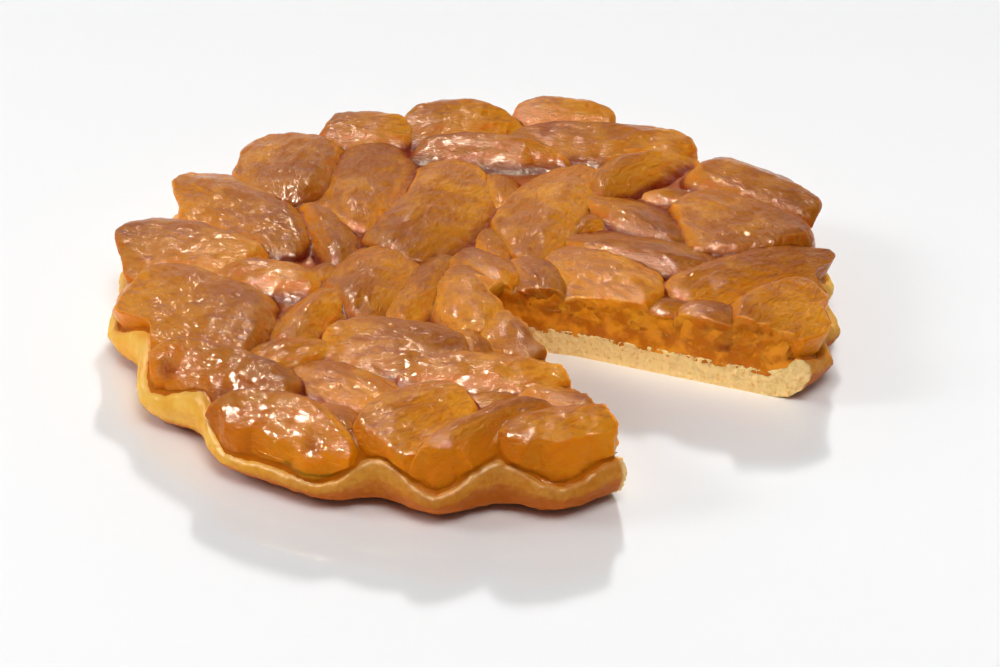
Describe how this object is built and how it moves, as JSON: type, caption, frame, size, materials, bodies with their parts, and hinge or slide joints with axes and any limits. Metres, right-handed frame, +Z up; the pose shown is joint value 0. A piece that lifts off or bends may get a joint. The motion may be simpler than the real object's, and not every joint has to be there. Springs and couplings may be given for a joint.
{
  "type": "tarte tatin",
  "caption": "Round upside-down apple tart with a wavy pastry edge, caramelised apple pieces over a bed of soft apple, and one wedge-shaped portion cut out.",
  "frame": {"origin": "middle of the tart's underside, on the surface it stands on", "axes": "+Z up out of the apples; the cut-out portion opens between +X and -Y"},
  "size_m": [0.2801, 0.2811, 0.0347],
  "materials": {
    "pastry": "baked golden pastry, cream and crumbly where it is cut, browner under the rim",
    "apple_bed": "soft apple set in glossy amber caramel",
    "apple": "translucent caramelised apple with a wet glaze and fine fibres"
  },
  "bodies": {
    "root": {"pastry": "pastry", "apple_bed": "apple_bed", "apple_rim_01": "apple", "apple_rim_02": "apple", "apple_rim_03": "apple", "apple_rim_04": "apple", "apple_rim_05": "apple", "apple_rim_06": "apple", "apple_rim_07": "apple", "apple_rim_08": "apple", "apple_rim_09": "apple", "apple_rim_10": "apple", "apple_rim_11": "apple", "apple_rim_12": "apple", "apple_rim_13": "apple", "apple_rim_14": "apple", "apple_rim_15": "apple", "apple_rim_16": "apple", "apple_rim_17": "apple", "apple_rim_18": "apple", "apple_rim_19": "apple", "apple_ring_01": "apple", "apple_ring_02": "apple", "apple_ring_03": "apple", "apple_ring_04": "apple", "apple_ring_05": "apple", "apple_ring_06": "apple", "apple_ring_07": "apple", "apple_ring_08": "apple", "apple_ring_09": "apple", "apple_ring_10": "apple", "apple_ring_11": "apple", "apple_ring_12": "apple", "apple_ring_13": "apple", "apple_ring_14": "apple", "apple_ring_15": "apple", "apple_core_01": "apple", "apple_core_02": "apple", "apple_core_03": "apple", "apple_core_04": "apple", "apple_core_05": "apple", "apple_core_06": "apple", "apple_core_07": "apple", "apple_core_08": "apple", "apple_core_09": "apple", "apple_core_10": "apple", "apple_core_11": "apple", "apple_core_12": "apple", "apple_core_13": "apple", "apple_core_14": "apple", "apple_core_15": "apple", "apple_core_16": "apple"}
  },
  "joints": []
}
